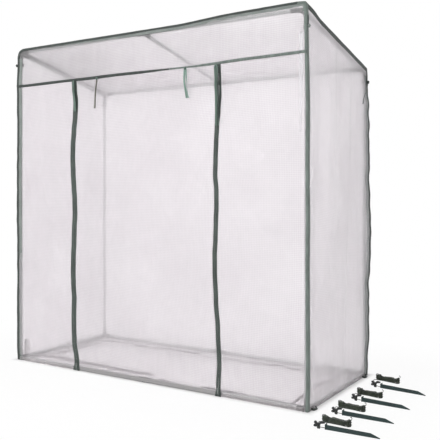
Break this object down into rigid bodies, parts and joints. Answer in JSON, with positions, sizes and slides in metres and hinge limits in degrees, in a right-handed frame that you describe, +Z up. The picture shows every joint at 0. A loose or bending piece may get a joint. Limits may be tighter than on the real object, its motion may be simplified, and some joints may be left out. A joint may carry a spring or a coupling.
{
  "type": "lean-to greenhouse",
  "caption": "Lean-to film greenhouse on a push-fit tube frame, with a sloping roof, a roll-up zipped door, and ground pegs with hanked guy ropes.",
  "frame": {"origin": "on the ground, at the middle of the front sill coupler's underside", "axes": "+X to the right seen from the front, +Y from the front to the rear wall side, +Z up"},
  "size_m": [2.3877, 0.9873, 1.93],
  "materials": {
    "green_steel": "dark green powder coat on thin steel tube",
    "dark_plastic": "matt dark moulded plastic",
    "film": "clear film with a reinforcing grid, milky where it is seen at a flat angle",
    "zip_tape": "dark grey-green woven tape",
    "hem_tape": "dark green woven binding",
    "slider_metal": "grey-green enamelled die casting",
    "peg_plastic": "dark green moulded plastic with a dull sheen",
    "guy_rope": "dark olive green braided cord",
    "tensioner_plastic": "black moulded plastic"
  },
  "bodies": {
    "house": {"front_left_sill_corner": "dark_plastic", "front_right_sill_corner": "dark_plastic", "rear_left_sill_corner": "dark_plastic", "rear_right_sill_corner": "dark_plastic", "front_sill_coupler": "dark_plastic", "rear_sill_coupler": "dark_plastic", "front_left_elbow": "dark_plastic", "front_right_elbow": "dark_plastic", "rear_left_elbow": "dark_plastic", "rear_right_elbow": "dark_plastic", "front_eave_tee": "dark_plastic", "rear_eave_tee": "dark_plastic", "front_left_post": "green_steel", "front_right_post": "green_steel", "rear_left_post": "green_steel", "rear_right_post": "green_steel", "front_left_sill_tube": "green_steel", "front_right_sill_tube": "green_steel", "rear_left_sill_tube": "green_steel", "rear_right_sill_tube": "green_steel", "left_side_sill_tube": "green_steel", "right_side_sill_tube": "green_steel", "front_left_eave_tube": "green_steel", "front_right_eave_tube": "green_steel", "rear_left_eave_tube": "green_steel", "rear_right_eave_tube": "green_steel", "left_rafter": "green_steel", "middle_rafter": "green_steel", "right_rafter": "green_steel", "roof_film": "film", "rear_film": "film", "left_side_film": "film", "right_side_film": "film", "header_film": "film", "front_left_film": "film", "front_right_film": "film", "door_film": "film", "left_zip": "zip_tape", "right_zip": "zip_tape", "peg_1": "peg_plastic", "peg_2": "peg_plastic", "peg_3": "peg_plastic", "peg_4": "peg_plastic", "tensioner_1": "tensioner_plastic", "tensioner_2": "tensioner_plastic", "tensioner_3": "tensioner_plastic", "tensioner_4": "tensioner_plastic", "guy_rope_hank_1": "guy_rope", "guy_rope_hank_2": "guy_rope", "guy_rope_hank_3": "guy_rope", "guy_rope_hank_4": "guy_rope", "guy_rope_tail_1": "guy_rope", "guy_rope_tail_2": "guy_rope", "guy_rope_tail_3": "guy_rope", "guy_rope_tail_4": "guy_rope"},
    "door": {"door_hem": "hem_tape"},
    "left_slider": {"left_slider": "slider_metal"},
    "right_slider": {"right_slider": "slider_metal"},
    "left_pull": {"left_pull": "slider_metal"},
    "right_pull": {"right_pull": "slider_metal"}
  },
  "joints": [
    {"name": "door_roll", "type": "slide", "parent": "house", "child": "door", "axis": [0, 0, 1], "range_m": [0, 1.55], "deforming": ["door_film"]},
    {"name": "left_zip_run", "type": "slide", "parent": "house", "child": "left_slider", "axis": [0, 0, 1], "range_m": [0, 1.55]},
    {"name": "right_zip_run", "type": "slide", "parent": "house", "child": "right_slider", "axis": [0, 0, 1], "range_m": [0, 1.55]},
    {"name": "left_pull_hinge", "type": "hinge", "parent": "left_slider", "child": "left_pull", "pos_m": [-0.49, -0.0203, 0.0385], "axis": [-1, 0, 0], "range_deg": [0, 150]},
    {"name": "right_pull_hinge", "type": "hinge", "parent": "right_slider", "child": "right_pull", "pos_m": [0.49, -0.0203, 0.0385], "axis": [-1, 0, 0], "range_deg": [0, 150]}
  ],
  "couplings": [
    {"joint": "left_zip_run", "follows": "door_roll", "ratio": 1},
    {"joint": "right_zip_run", "follows": "door_roll", "ratio": 1}
  ]
}
